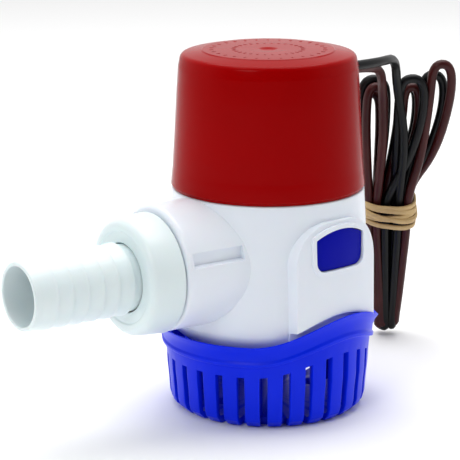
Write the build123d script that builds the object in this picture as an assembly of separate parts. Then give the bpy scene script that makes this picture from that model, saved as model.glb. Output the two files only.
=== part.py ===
from build123d import *
import os
from math import cos, radians, sin, sqrt, tan

# A submersible centrifugal bilge pump. The origin is the middle of its flat underside, on the
# rotor's axis. +Z is up, the discharge points along -X, the release buttons face about -Y and +Y,
# and the leads leave the motor cover on the +X side. All sizes are in millimetres.

# Overall
HEIGHT = 99.0
GAP = 0.3  # between pieces that move past each other

# Strainer base
BASE_FOOT_R = 26.9
BASE_WALL_R = 27.9
BASE_NECK_R = 28.5
BASE_BORE_R = 25.9
BASE_FLOOR = 2.2
BASE_EDGE = 4.0  # rounding of the bottom edge
RIM_R = 30.1
RIM_TIP_R = 30.9
RIM_LOW = 24.1  # height of the rim's edge between the lobes
RIM_LOBE = 6.6  # how much further it rises under a button
BAND_LOW = 18.0
BAND_LOBE = 7.1
SLOT_TOP = 14.8
SLOT_LOBE = 6.9
LOBE_HALF = 56.0  # degrees to each side of a button
SLOT_COUNT = 28
SLOT_WIDTH = 2.1
SLOT_IN_R = 22.0
POST_R = 1.7
POST_AT_R = 19.6
SCREW_HOLE_R = 2.15
SCREW_SPACING = 30.0

# Pump body
BODY_LOW = 21.0
BODY_TOP = 61.4
BODY_R = 27.6
BODY_TOP_R = 26.3
BODY_ROUND = 5.0
SPIGOT_R = 23.4
SPIGOT_IN_R = 21.2
SPIGOT_TOP = 68.0
SEAL_Z = 65.0
SEAL_RING_R = 23.2
SEAL_CORD_R = 0.75
CHAMBER_R = 19.6
CHAMBER_LOW = 31.0
CHAMBER_TOP = 52.5
INLET_R = 8.0
MOTOR_SEAT = 57.2
BOSS_HALF = 14.3
BOSS_FACE = 28.9  # from the axis to the middle of the boss's crowned face
BOSS_FACE_R = 50.0
BOSS_LOW = 26.0
BOSS_TOP = 56.5
BOSS_CORNER = 11.0
BOSS_IN_RIM_R = 29.1
POCKET_IN_Y = 21.2
POCKET_R = 25.7
POCKET_TOP = 54.9

# Release buttons
BUTTON_TURN = 6.5  # degrees about Z from -Y to the front button, and from +Y to the back one
BUTTON_HALF = 8.4
BUTTON_LOW = 43.7
BUTTON_TOP = 54.2
BUTTON_CORNER = 2.6
BUTTON_CROWN_R = 18.0  # of its arched top edge
BUTTON_FACE = 28.4
ARM_HALF = 5.0
ARM_IN_Y = 23.4
ARM_THICK = 1.4
ARM_LOW = 12.0

# Discharge, on its own axis along -X
PORT_Y = -1.5
PORT_Z = 43.2
PORT_R = 7.9
SOCKET_R = 17.0
SOCKET_RISE = 1.0  # from the discharge's axis up to the middle of the socket's outside
SOCKET_EDGE = 1.2
SOCKET_END = 38.5
SOCKET_SEAT = 32.5
THREAD_R = 13.8
GASKET_THICK = 1.2
FLANGE_THICK = 2.3
NUT_R = 16.3
NUT_FRONT_R = 15.5
NUT_END = 48.6
NUT_ROUND = 2.2
TUBE_R = 9.0
BARB_START = 50.5
BARB_END = 79.9
BARB_COUNT = 6
BARB_CREST_R = 9.75
BARB_TAPER = 0.03  # how much smaller each ring is than the one behind it
BARB_LAND = 0.8
BARB_ROOT_R = 9.1
KEY_LOW = 46.8  # the flat-floored recess along the socket's -Y side
KEY_HIGH = 51.2
KEY_FLOOR_Y = -16.4
KEY_FROM = 21.0
KEY_TO = 36.8

# Motor cover
CAP_TOP_R = 18.2
CAP_SHOULDER_R = 23.6
CAP_SHOULDER_Z = 97.8
CAP_SIDE_R = 24.3
CAP_SIDE_Z = 95.8
CAP_LOW_R = 26.5
CAP_LOW = 62.2
GROMMET_Z = 91.0
GROMMET_R = 3.4
GROMMET_OUT = 27.0
GROMMET_IN = 20.6

# Motor
CAN_R = 17.8
CAN_WALL = 1.0
CAN_TOP = 91.5
MAGNET_IN_R = 13.6
MAGNET_LOW = 62.0
MAGNET_TOP = 84.0
MAGNET_HALF = 68.0  # degrees to each side
CORE_R = 12.9
CORE_LOW = 63.2
CORE_TOP = 81.4
CORE_POLES = 5
WINDING_R = 11.2
WINDING_DEEP = 2.2
COMMUTATOR_R = 3.6
COMMUTATOR_LOW = 85.0
COMMUTATOR_TOP = 89.5
PLATE_LOW = 88.6
SHAFT_R = 1.6
SHAFT_LOW = 34.0
SHAFT_TOP = 93.6
BUSH_R = 4.2
BUSH_TOP = 60.4
UPPER_BUSH_TOP = 93.2
BRUSH_HALF = 1.8
BRUSH_END = 9.5
RUN_FIT = 0.05  # radial play of the shaft in a bush
SEAL_R = 5.0

# Impeller
IMPELLER_R = 16.4
IMPELLER_LOW = 33.0
IMPELLER_TOP = 49.0
DISC_THICK = 1.8
VANE_COUNT = 5
VANE_THICK = 1.6
HUB_R = 4.2

# Leads: a black and a brown conductor, tied in a hank that stands behind the pump
LEAD_R = 1.35
HANK_TURN = -36.5  # the hank's flat side faces this way about Z
HANK_FOOT = (38.9, 51.4, 0.0)
HANK_LEAN = 10.05  # degrees that the hank leans over towards the pump
HANK_HALF = 6.0
HANK_OUTLINE = [
    (34.2, 1.6), (40.2, 1.6), (41.9, 37.0), (41.9, 47.0), (46.5, 61.0), (55.6, 79.0), (55.6, 86.5),
    (51.0, 88.6), (47.5, 83.5), (41.0, 81.4), (29.0, 81.4), (26.3, 72.0), (29.3, 47.0), (29.3, 37.0),
]
BAND_FROM = 37.8
BAND_TO = 46.6
BAND_THICK = 1.0
BLACK_ROUTE = [(27.0, -1.4, 91.7), (38.0, -1.4, 91.7), (52.5, 9.5, 90.3), (57.9, 15.2, 80.0)]
BROWN_ROUTE = [(27.0, 1.4, 90.3), (36.0, 1.4, 90.3), (49.0, 11.5, 86.6), (54.4, 17.4, 78.0)]
INNER_X = 19.4  # where the inner leads climb past the can
INNER_Z = 94.6
TERMINAL_X = 8.6
INNER_LEAD_R = 0.8

UP = (Align.CENTER, Align.CENTER, Align.MIN)


def round_bar(radius, low, high):
    """A cylinder about the Z axis."""
    return Pos(0, 0, low) * Cylinder(radius, high - low, align=UP)


def ring(outer, inner, low, high):
    """A washer or a tube about the Z axis."""
    return round_bar(outer, low, high) - round_bar(inner, low, high)


def block(x_range, y_range, z_range):
    """A box between two corners."""
    spans = [high - low for low, high in (x_range, y_range, z_range)]
    return Pos(x_range[0], y_range[0], z_range[0]) * Box(*spans, align=(Align.MIN,) * 3)


def turned(outline):
    """The solid that an outline of (radius, height) points sweeps out about the Z axis."""
    face = make_face(Plane.XZ * Polyline(*outline, close=True))
    return revolve(face, Axis.Z)


def port(shape):
    """Moves a shape made along +Z from the pump's axis onto the discharge's axis along -X."""
    return Pos(0, PORT_Y, PORT_Z) * Rot(0, -90, 0) * shape


def both_sides(shape):
    """A shape made facing -Y at the front button and its copy at the back button."""
    return Rot(0, 0, BUTTON_TURN) * (shape + Rot(0, 0, 180) * shape)


def bump(degrees_off):
    """The lobe's rise, from 0 between the lobes to 1 under a button."""
    return cos(radians(90 * degrees_off / LOBE_HALF)) ** 2 if abs(degrees_off) < LOBE_HALF else 0.0


def above_wave(low, rise, radius):
    """Everything above a line that runs level and lifts into a lobe at each button."""
    angles = [LOBE_HALF * step / 6 for step in range(-6, 7)]
    wave = Spline(*[(radius * sin(radians(a)), low + rise * bump(a)) for a in angles])
    wide = radius + 10
    frame = Polyline(wave @ 1, (wide, low), (wide, 60), (-wide, 60), (-wide, low), wave @ 0)
    return extrude(make_face(Plane.XZ * (Curve() + [wave, frame])), wide, both=True)


def cord(route):
    """A lead along a route of straight runs, with each corner as wide as its two runs allow."""
    points = [Vector(*point) for point in route]
    runs = [b - a for a, b in zip(points, points[1:])]
    radii = []
    for before, after in zip(runs, runs[1:]):
        half_turn = radians(before.get_angle(after) / 2)
        radii.append(0.45 * min(before.length, after.length) / tan(half_turn))
    path = FilletPolyline(*points, radius=radii)
    section = Plane(origin=path @ 0, z_dir=path % 0) * Circle(LEAD_R)
    tube = sweep(section, path=path)
    expected = LEAD_R ** 2 * 3.14159 * path.length
    print("lead radii", [round(r, 1) for r in radii], "length", round(path.length, 1),
          "volume / expected", round(tube.volume / expected, 4))
    return tube


def strainer_base():
    """The slotted bowl with its wavy rim, its floor and the posts that carry the pump body."""
    wall = turned([(0, 0), (BASE_FOOT_R, 0), (BASE_WALL_R, 13), (BASE_NECK_R, 18), (BASE_NECK_R, 31),
                   (0, 31)])
    wall = fillet(wall.edges().group_by(Axis.Z)[0], BASE_EDGE)
    band = turned([(BASE_NECK_R - 1, 16), (RIM_R, 16), (RIM_R, 28), (RIM_TIP_R, 31), (BASE_NECK_R - 1, 31)])
    wall += band & above_wave(BAND_LOW, BAND_LOBE, BASE_NECK_R)
    wall -= above_wave(RIM_LOW, RIM_LOBE, RIM_R)
    seat = BODY_R + GAP
    wall -= round_bar(BASE_BORE_R, BASE_FLOOR, 40)
    wall -= fillet(round_bar(seat, BODY_LOW - GAP, 40).edges().group_by(Axis.Z)[0], BODY_ROUND + GAP)
    wall -= round_bar(BOSS_IN_RIM_R + GAP, BOSS_LOW - GAP, 40)
    for step in range(SLOT_COUNT):
        turn = 360 * (step + 0.5) / SLOT_COUNT
        off = min(abs(turn - 90), abs(turn - 270))
        top = SLOT_TOP + SLOT_LOBE * bump(off)
        slot = block((SLOT_IN_R, 33), (-SLOT_WIDTH / 2, SLOT_WIDTH / 2), (-1, top))
        wall -= Rot(0, 0, turn) * slot
    wall = Rot(0, 0, BUTTON_TURN) * wall
    for turn in (45, 135, 225, 315):
        wall += Rot(0, 0, turn) * Pos(POST_AT_R, 0, 0) * round_bar(POST_R, 1, BODY_LOW)
    for side in (-1, 1):
        wall -= Pos(side * SCREW_SPACING / 2, 0, 0) * round_bar(SCREW_HOLE_R, -1, BASE_FLOOR + 1)
    return wall


def crowned(outline, face, y_in):
    """An outline seen from -Y, drawn out from y_in to a crowned face at that distance from the axis."""
    body = Pos(0, -y_in, 0) * extrude(Plane.XZ * outline, 20)
    return body & Pos(0, BOSS_FACE_R - face, 0) * round_bar(BOSS_FACE_R, 0, 70)


def boss():
    """The arched swelling of the pump body around the front button, clear of the strainer's rim."""
    outline = Pos(0, BOSS_TOP / 2) * RectangleRounded(2 * BOSS_HALF, BOSS_TOP, BOSS_CORNER)
    swelling = crowned(outline, BOSS_FACE, 20) & round_bar(40, BOSS_LOW, 60)
    inside_rim = round_bar(BOSS_IN_RIM_R, BOSS_LOW, 60)
    return swelling & (inside_rim + above_wave(RIM_LOW + GAP, RIM_LOBE, RIM_R))


def button_outline(grow):
    """The front button's rounded outline with its arched top, or with grow of its window."""
    low, top = BUTTON_LOW - grow, BUTTON_TOP + grow
    outline = Pos(0, (low + top) / 2) * RectangleRounded(2 * (BUTTON_HALF + grow), top - low, BUTTON_CORNER)
    return outline & Pos(0, top - BUTTON_CROWN_R) * Circle(BUTTON_CROWN_R)


def pump_body():
    """The white moulding: pump chamber, inlet, motor seat, button pockets and discharge socket."""
    body = turned([(0, BODY_LOW), (BODY_R, BODY_LOW), (BODY_R, 30), (26.9, 51), (BODY_TOP_R, BODY_TOP),
                   (0, BODY_TOP)])
    body = fillet(body.edges().group_by(Axis.Z)[0], BODY_ROUND)
    body += both_sides(boss())
    socket = round_bar(SOCKET_R, 18, SOCKET_END)
    body += Pos(0, 0, SOCKET_RISE) * port(fillet(socket.edges().group_by(Axis.Z)[-1], SOCKET_EDGE))
    body -= block((-KEY_TO, -KEY_FROM), (-20, KEY_FLOOR_Y), (KEY_LOW, KEY_HIGH)) - round_bar(BODY_R, 20, 60)
    body += ring(SPIGOT_R, SPIGOT_IN_R, BODY_TOP - 1, SPIGOT_TOP)
    body -= cap_seal()
    body -= round_bar(CHAMBER_R, CHAMBER_LOW, CHAMBER_TOP)
    body -= round_bar(INLET_R, BODY_LOW - 1, CHAMBER_LOW + 1)
    inlet_top = BODY_LOW + 4
    body -= turned([(0, BODY_LOW - 1), (INLET_R + 5, BODY_LOW - 1), (INLET_R, inlet_top), (0, inlet_top)])
    body -= round_bar(CAN_R + GAP, MOTOR_SEAT, BODY_TOP + 1)
    body -= round_bar(SHAFT_R + 0.6, CHAMBER_TOP - 1, MOTOR_SEAT + 1)
    body -= round_bar(SEAL_R, CHAMBER_TOP + 1.2, MOTOR_SEAT + 1)
    body -= port(round_bar(PORT_R, 10, SOCKET_END + 1))
    body -= port(round_bar(THREAD_R, SOCKET_SEAT, SOCKET_END + 1))
    pocket = block((-10.2, 10.2), (-30, -POCKET_IN_Y), (40.5, POCKET_TOP))
    pocket += block((-ARM_HALF - 1, ARM_HALF + 1), (-30, -POCKET_IN_Y), (BODY_LOW - 1, 41))
    pocket &= round_bar(POCKET_R, BODY_LOW - 2, 60)
    body -= both_sides(pocket)
    body -= both_sides(Pos(0, -24, 0) * extrude(Plane.XZ * button_outline(GAP), 10))
    return body


def release_button():
    """The front button: its pad in the window, the flange behind the window and the arm below."""
    pad = crowned(button_outline(0), BUTTON_FACE, 24.4)
    flange = block((-9.3, 9.3), (-30, -ARM_IN_Y - 0.2), (BUTTON_LOW - 1.6, POCKET_TOP - GAP))
    flange &= round_bar(POCKET_R - GAP, 40, 55)
    arm = block((-ARM_HALF, ARM_HALF), (-ARM_IN_Y - ARM_THICK, -ARM_IN_Y), (ARM_LOW, BUTTON_LOW + 2))
    return pad + flange + arm


def cap_seal():
    """The O-ring in the spigot's groove that seals the cover."""
    return Pos(0, 0, SEAL_Z) * Torus(SEAL_RING_R, SEAL_CORD_R)


def motor_cap():
    """The tapered red cover with its sloped shoulder."""
    outside = [(0, HEIGHT), (CAP_TOP_R, HEIGHT), (CAP_SHOULDER_R, CAP_SHOULDER_Z), (CAP_SIDE_R, CAP_SIDE_Z),
               (24.8, 88), (25.4, 77), (26.0, 67), (CAP_LOW_R, CAP_LOW), (25.9, CAP_LOW), (25.9, BODY_TOP)]
    inside = [(24.0, BODY_TOP), (24.0, 68.5), (23.3, 77), (22.7, 88), (22.2, 96.0), (0, 97.0)]
    cover = turned(outside + inside)
    return cover - Pos(18, 0, GROMMET_Z) * Rot(0, 90, 0) * round_bar(GROMMET_R, 0, 12)


def cable_grommet():
    """The potted plug in the cover's side that the leads come out of."""
    stem = round_bar(GROMMET_R, GROMMET_IN, GROMMET_OUT)
    return Pos(0, 0, GROMMET_Z) * Rot(0, 90, 0) * chamfer(stem.edges().group_by(Axis.Z)[-1], 0.5)


def motor_can():
    """The steel can, closed at the drive end."""
    can = round_bar(CAN_R, MOTOR_SEAT, CAN_TOP)
    can -= round_bar(CAN_R - CAN_WALL, MOTOR_SEAT + CAN_WALL, CAN_TOP + 1)
    return can - round_bar(BUSH_R, MOTOR_SEAT - 1, BUSH_TOP)


def magnet():
    """The arc magnet on the +X side."""
    arc = ring(CAN_R - CAN_WALL, MAGNET_IN_R, MAGNET_LOW, MAGNET_TOP)
    reach = 40.0
    corners = [(0, 0)]
    for turn in (-MAGNET_HALF, 0, MAGNET_HALF):
        corners.append((reach * cos(radians(turn)), reach * sin(radians(turn))))
    wedge = extrude(make_face(Polyline(*corners, close=True)), 100)
    return arc & wedge


def armature_core():
    """The laminated core: a hub, one pole for each coil and the pole shoes."""
    core = round_bar(6.0, CORE_LOW, CORE_TOP)
    gap = ring(CORE_R + 1, CORE_R - 1.8, CORE_LOW - 1, CORE_TOP + 1)
    shoes = ring(CORE_R, CORE_R - 1.8, CORE_LOW, CORE_TOP)
    for step in range(CORE_POLES):
        turn = Rot(0, 0, 360 * step / CORE_POLES)
        core += turn * block((5, CORE_R - 1), (-1.6, 1.6), (CORE_LOW, CORE_TOP))
        gap = block((0, CORE_R + 2), (-0.9, 0.9), (CORE_LOW - 1, CORE_TOP + 1))
        slit = turn * Rot(0, 0, 180 / CORE_POLES) * gap
        shoes -= slit & gap
    return core + shoes - round_bar(SHAFT_R, 0, HEIGHT)


def winding(low):
    """The ends of the coils where they lie over one face of the core."""
    coils = ring(WINDING_R, SHAFT_R + 2.2, low, low + WINDING_DEEP)
    rims = coils.edges().filter_by(GeomType.CIRCLE).filter_by(lambda edge: edge.radius > WINDING_R - 1)
    return fillet(rims, 0.8)


def commutator():
    """The copper drum that the brushes press on."""
    return ring(COMMUTATOR_R, SHAFT_R, COMMUTATOR_LOW, COMMUTATOR_TOP)


def brush_plate():
    """The moulded end of the motor, with the upper bush's seat and a slot for each brush."""
    plate = round_bar(CAN_R - CAN_WALL, PLATE_LOW, CAN_TOP + 0.8)
    plate -= round_bar(COMMUTATOR_R + 0.8, PLATE_LOW - 1, COMMUTATOR_TOP + 0.6)
    plate += ring(6.2, BUSH_R, CAN_TOP, UPPER_BUSH_TOP)
    plate -= round_bar(BUSH_R, COMMUTATOR_TOP + 0.5, HEIGHT)
    for turn in (Rot(0, 0, 0), Rot(0, 0, 180)):
        guide = block((3, BRUSH_END), (-3.2, 3.2), (PLATE_LOW - 4.4, PLATE_LOW))
        guide -= block((2, BRUSH_END - 1), (-BRUSH_HALF, BRUSH_HALF), (PLATE_LOW - 3.4, PLATE_LOW))
        plate += turn * (guide - round_bar(COMMUTATOR_R + 0.8, 0, HEIGHT))
    return plate


def brush():
    """The carbon brush on the +X side."""
    carbon = block((2, BRUSH_END - 1), (-BRUSH_HALF, BRUSH_HALF), (PLATE_LOW - 3.4, PLATE_LOW))
    return carbon - round_bar(COMMUTATOR_R + RUN_FIT, 0, HEIGHT)


def impeller():
    """The open impeller: a hub and a disc, with swept vanes below the disc."""
    wheel = round_bar(HUB_R, IMPELLER_LOW, IMPELLER_TOP + 1.5)
    wheel += round_bar(IMPELLER_R, IMPELLER_TOP - DISC_THICK, IMPELLER_TOP)
    for step in range(VANE_COUNT):
        vane = block((1.8, IMPELLER_R + 1), (-VANE_THICK / 2, VANE_THICK / 2),
                     (IMPELLER_LOW + 1.5, IMPELLER_TOP - DISC_THICK / 2))
        sweep_back = Pos(0, 2.4, 0) * vane
        wheel += Rot(0, 0, 360 * step / VANE_COUNT) * (sweep_back & round_bar(IMPELLER_R - 0.3, 30, 50))
    return wheel - round_bar(SHAFT_R, SHAFT_LOW, HEIGHT)


def hose_barb():
    """The flanged tube with its row of saw-toothed rings."""
    flange_low = SOCKET_SEAT + GASKET_THICK
    flange_high = flange_low + FLANGE_THICK
    outline = [(PORT_R, flange_low), (THREAD_R - 0.6, flange_low), (THREAD_R - 0.6, flange_high),
               (TUBE_R, flange_high), (TUBE_R, BARB_START)]
    pitch = (BARB_END - 1.0 - BARB_START) / BARB_COUNT
    for step in range(BARB_COUNT):
        start = BARB_START + step * pitch
        crest = BARB_CREST_R - BARB_TAPER * step
        outline += [(crest, start), (crest, start + BARB_LAND), (BARB_ROOT_R, start + pitch)]
    outline += [(BARB_ROOT_R, BARB_END), (PORT_R, BARB_END)]
    tube = turned(outline)
    end = tube.edges().group_by(Axis.Z)[-1]
    return port(chamfer(end, 0.4))


def discharge_nut():
    """The smooth collar nut that clamps the hose barb's flange in the socket."""
    flange_high = SOCKET_SEAT + GASKET_THICK + FLANGE_THICK
    collar_low = SOCKET_END + 0.5
    collar = turned([(0, collar_low), (NUT_R, collar_low), (NUT_FRONT_R, NUT_END), (0, NUT_END)])
    collar = fillet(collar.edges().group_by(Axis.Z)[-1], NUT_ROUND)
    collar += round_bar(THREAD_R - GAP, flange_high + GAP, collar_low)
    return port(collar - round_bar(TUBE_R + GAP, 0, NUT_END + 1))


def inner_lead(side):
    """A conductor inside the cover, from the grommet over the can to its terminal."""
    y = side * 1.7
    route = [(GROMMET_IN, y, GROMMET_Z - 2), (INNER_X, y, GROMMET_Z - 2), (INNER_X, y, INNER_Z),
             (TERMINAL_X, y, INNER_Z), (TERMINAL_X, y, CAN_TOP + 0.8)]
    path = FilletPolyline(*[Vector(*point) for point in route], radius=[1.1, 1.6, 1.6])
    return sweep(Plane(origin=path @ 0, z_dir=path % 0) * Circle(INNER_LEAD_R), path=path)


def hank_plane():
    """The leaning plane that the hank lies in: x runs across it and y up it."""
    across = Vector(1, 0, 0).rotate(Axis.Z, HANK_TURN)
    upward = Vector(0, -sin(radians(HANK_LEAN)), cos(radians(HANK_LEAN))).rotate(Axis.Z, HANK_TURN)
    return Plane(origin=HANK_FOOT, x_dir=across, z_dir=across.cross(upward))


def lead_hank():
    """The outer shape of the tied hank: narrow at the foot and the band, fanned out at the top."""
    outline = make_face(Polyline(*HANK_OUTLINE, close=True))
    return hank_plane() * extrude(outline, HANK_HALF, both=True)


def rubber_band():
    """The band around the hank's waist."""
    left, right = HANK_OUTLINE[-1][0], HANK_OUTLINE[2][0]
    inner = block((left, right), (BAND_FROM - 1, BAND_TO + 1), (-HANK_HALF, HANK_HALF))
    outer = block((left - BAND_THICK, right + BAND_THICK), (BAND_FROM, BAND_TO),
                  (-HANK_HALF - BAND_THICK, HANK_HALF + BAND_THICK))
    outer = fillet(outer.edges().filter_by(Axis.Y), BAND_THICK * 0.9)
    return hank_plane() * (outer - inner)


back = Rot(0, 0, 180)
turned_front = Rot(0, 0, BUTTON_TURN)
pieces = {
    "strainer_base": strainer_base(),
    "pump_body": pump_body(),
    "release_button_front": turned_front * release_button(),
    "release_button_back": back * turned_front * release_button(),
    "motor_cap": motor_cap(),
    "cap_seal": cap_seal(),
    "cable_grommet": cable_grommet(),
    "motor_can": motor_can(),
    "magnet_right": magnet(),
    "magnet_left": back * magnet(),
    "armature_core": armature_core(),
    "winding_lower": winding(CORE_LOW - WINDING_DEEP),
    "winding_upper": winding(CORE_TOP),
    "commutator": commutator(),
    "motor_shaft": round_bar(SHAFT_R, SHAFT_LOW, SHAFT_TOP),
    "lower_bush": ring(BUSH_R, SHAFT_R + RUN_FIT, MOTOR_SEAT, BUSH_TOP),
    "upper_bush": ring(BUSH_R, SHAFT_R + RUN_FIT, COMMUTATOR_TOP + 0.6, UPPER_BUSH_TOP),
    "brush_plate": brush_plate(),
    "brush_right": brush(),
    "brush_left": back * brush(),
    "shaft_seal": ring(SEAL_R, SHAFT_R + RUN_FIT, CHAMBER_TOP + 1.2, MOTOR_SEAT),
    "impeller": impeller(),
    "discharge_gasket": port(ring(THREAD_R - 0.4, PORT_R + 0.3, SOCKET_SEAT, SOCKET_SEAT + GASKET_THICK)),
    "hose_barb": hose_barb(),
    "discharge_nut": discharge_nut(),
    "inner_lead_black": inner_lead(-1),
    "inner_lead_brown": inner_lead(1),
    "black_lead": cord(BLACK_ROUTE),
    "brown_lead": cord(BROWN_ROUTE),
    "lead_hank": lead_hank(),
    "rubber_band": rubber_band(),
}

os.makedirs("parts", exist_ok=True)
for name, shape in pieces.items():
    export_step(shape, f"parts/{name}.step")
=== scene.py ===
"""Looks of a submersible bilge pump: moulded shells, strainer, hose barb and its tied leads."""

import logging
import math
from contextlib import contextmanager
from dataclasses import dataclass, field
from enum import Enum
from itertools import pairwise
from typing import Callable, Iterator

import bmesh
import bpy
from mathutils import Matrix, Vector


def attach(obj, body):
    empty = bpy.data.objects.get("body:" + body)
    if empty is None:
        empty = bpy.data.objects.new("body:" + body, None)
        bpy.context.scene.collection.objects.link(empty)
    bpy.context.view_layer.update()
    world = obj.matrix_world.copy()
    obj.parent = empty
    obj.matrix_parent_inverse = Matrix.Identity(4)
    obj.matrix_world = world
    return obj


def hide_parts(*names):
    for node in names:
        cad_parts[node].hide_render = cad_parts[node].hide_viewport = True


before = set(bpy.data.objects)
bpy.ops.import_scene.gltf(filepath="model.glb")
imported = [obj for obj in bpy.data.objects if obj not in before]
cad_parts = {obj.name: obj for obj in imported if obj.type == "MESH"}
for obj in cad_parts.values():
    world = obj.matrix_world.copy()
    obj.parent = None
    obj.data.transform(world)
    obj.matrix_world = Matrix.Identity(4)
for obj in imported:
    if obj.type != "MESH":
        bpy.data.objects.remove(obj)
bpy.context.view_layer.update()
log = logging.getLogger("bilge_pump")

MM = 0.001
Point = tuple[float, float]
Corner = tuple[float, float, float]
Place = tuple[float, float, float]
Piece = bpy.types.Object


class Joining(Enum):
    """How one solid is combined with another."""

    ADD = "UNION"
    CUT = "DIFFERENCE"
    KEEP_COMMON = "INTERSECT"


class Element(Enum):
    """What is selected in edit mode, and where a mesh keeps it."""

    FACE = "faces"
    EDGE = "edges"
    VERT = "verts"


class Side(Enum):
    """The two release buttons, by the turn about Z from the front one."""

    FRONT = 0.0
    BACK = 180.0


# ---------------------------------------------------------------- modelling


def clear_selection() -> None:
    """Leaves edit mode and deselects everything."""
    if bpy.context.object and bpy.context.object.mode != "OBJECT":
        bpy.ops.object.mode_set(mode="OBJECT")
    bpy.ops.object.select_all(action="DESELECT")


def activate(piece: Piece) -> None:
    """Makes one object the only selected and active one."""
    clear_selection()
    piece.select_set(True)
    bpy.context.view_layer.objects.active = piece


@contextmanager
def editing(piece: Piece, select_all: bool = False) -> Iterator[None]:
    """Opens an object in edit mode and closes it again.

    Args:
        piece: The mesh object to edit.
        select_all: Whether it starts with all of it selected, or with nothing.
    """
    activate(piece)
    bpy.ops.object.mode_set(mode="EDIT")
    bpy.ops.mesh.select_all(action="SELECT" if select_all else "DESELECT")
    yield
    bpy.ops.object.mode_set(mode="OBJECT")


def pick(piece: Piece, what: Element, wanted: Callable[[object], bool]) -> None:
    """Selects the faces, edges or points that a test accepts, in edit mode.

    Args:
        piece: The object in edit mode.
        what: Which of them is meant.
        wanted: The test.
    """
    mesh = bmesh.from_edit_mesh(piece.data)
    bpy.ops.mesh.select_all(action="DESELECT")
    bpy.ops.mesh.select_mode(type=what.name)
    for element in getattr(mesh, what.value):
        if wanted(element):
            element.select_set(True)
    mesh.select_flush_mode()
    bmesh.update_edit_mesh(piece.data)


def rounded(corners: list[Corner], steps: int = 4) -> list[Point]:
    """An outline with its corners rounded.

    Args:
        corners: The corners as (radius, height, rounding); a rounding of 0 keeps a corner sharp.
        steps: How many steps an arc has.

    Returns:
        The outline's points as (radius, height).
    """
    outline: list[Point] = []
    for index, (across, height, rounding) in enumerate(corners):
        here = Vector((across, height))
        if rounding <= 0 or index in (0, len(corners) - 1):
            outline.append((across, height))
            continue
        back = (Vector(corners[index - 1][:2]) - here).normalized()
        ahead = (Vector(corners[index + 1][:2]) - here).normalized()
        half = back.angle(ahead) / 2
        middle = here + (back + ahead).normalized() * rounding / math.sin(half)
        first = here + back * rounding / math.tan(half) - middle
        last = here + ahead * rounding / math.tan(half) - middle
        for step in range(steps + 1):
            spoke = first.lerp(last, step / steps).normalized() * rounding
            outline.append(tuple(middle + spoke))
    return outline


def turned(name: str, outline: list[Point], segments: int = 128, hollow: bool = False) -> Piece:
    """A shape turned about the Z axis, drawn up ring by ring from a circle.

    Args:
        name: The new object's name.
        outline: The rings as (radius, height) in millimetres, from the lowest end of the outline.
        segments: How many sides each ring has.
        hollow: Whether the last ring joins the first, as on a tube; otherwise both ends are closed.

    Returns:
        The new object, with its place in its mesh.
    """
    clear_selection()
    radius, height = outline[0]
    bpy.ops.mesh.primitive_circle_add(
        vertices=segments, radius=radius * MM, fill_type="NOTHING" if hollow else "NGON")
    piece = bpy.context.object
    piece.name = name
    with editing(piece, select_all=True):
        bpy.ops.transform.translate(value=(0, 0, height * MM))
        for (before, low), (after, high) in pairwise(outline):
            rise = {"value": (0, 0, (high - low) * MM)}
            if hollow:
                bpy.ops.mesh.extrude_edges_move(TRANSFORM_OT_translate=rise)
            else:
                bpy.ops.mesh.extrude_region_move(TRANSFORM_OT_translate=rise)
            scale = after / before
            bpy.ops.transform.resize(value=(scale, scale, 1), center_override=(0, 0, high * MM))
        if hollow:
            bpy.ops.mesh.select_all(action="DESELECT")
            bpy.ops.mesh.select_mode(type="EDGE")
            bpy.ops.mesh.select_non_manifold(extend=False)
            bpy.ops.mesh.bridge_edge_loops()
        bpy.ops.mesh.select_all(action="SELECT")
        bpy.ops.mesh.normals_make_consistent(inside=False)
    return piece


def slab(name: str, size: Place, centre: Place, rounding: float, along: int = 1, steps: int = 8) -> Piece:
    """A block with the four edges along one axis rounded.

    Args:
        name: The new object's name.
        size: Its size in millimetres.
        centre: Its middle in millimetres.
        rounding: The radius of the four edges in millimetres.
        along: The axis of those edges, 0 to 2.
        steps: How many steps a rounding has.

    Returns:
        The new object.
    """
    clear_selection()
    bpy.ops.mesh.primitive_cube_add(size=1)
    piece = bpy.context.object
    piece.name = name
    with editing(piece, select_all=True):
        bpy.ops.transform.resize(value=[side * MM for side in size], center_override=(0, 0, 0))
        bpy.ops.transform.translate(value=[at * MM for at in centre])
        if rounding > 0:
            pick(piece, Element.EDGE,
                 lambda edge: abs((edge.verts[0].co - edge.verts[1].co).normalized()[along]) > 0.9)
            bpy.ops.mesh.bevel(offset=rounding * MM, segments=steps)
    return piece


def apply_place(piece: Piece) -> None:
    """Puts an object's place, turn and scale into its mesh."""
    activate(piece)
    bpy.ops.object.transform_apply(location=True, rotation=True, scale=True)


def set_down(piece: Piece, turn: Place = (0, 0, 0), move: Place = (0, 0, 0)) -> Piece:
    """Turns a shape about the axes and then moves it.

    Args:
        piece: The shape.
        turn: Degrees about X, Y and Z.
        move: Millimetres along X, Y and Z.

    Returns:
        The same object, with its place in its mesh.
    """
    piece.rotation_euler = [math.radians(angle) for angle in turn]
    piece.location = Vector(move) * MM
    apply_place(piece)
    return piece


def modify(piece: Piece, kind: str, **settings: object) -> None:
    """Adds a modifier with these settings and applies it."""
    activate(piece)
    modifier = piece.modifiers.new(kind.title(), kind)
    for name, value in settings.items():
        setattr(modifier, name, value)
    bpy.ops.object.modifier_apply(modifier=modifier.name)


def combine(piece: Piece, other: Piece, how: Joining) -> Piece:
    """Joins, cuts or trims one solid with another, which is used up.

    Args:
        piece: The solid that stays.
        other: The solid that is used up.
        how: Whether it is added, cut away or kept in common.

    Returns:
        The solid that stays.
    """
    modify(piece, "BOOLEAN", object=other, operation=how.value, solver="EXACT")
    bpy.data.objects.remove(other)
    return piece


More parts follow.
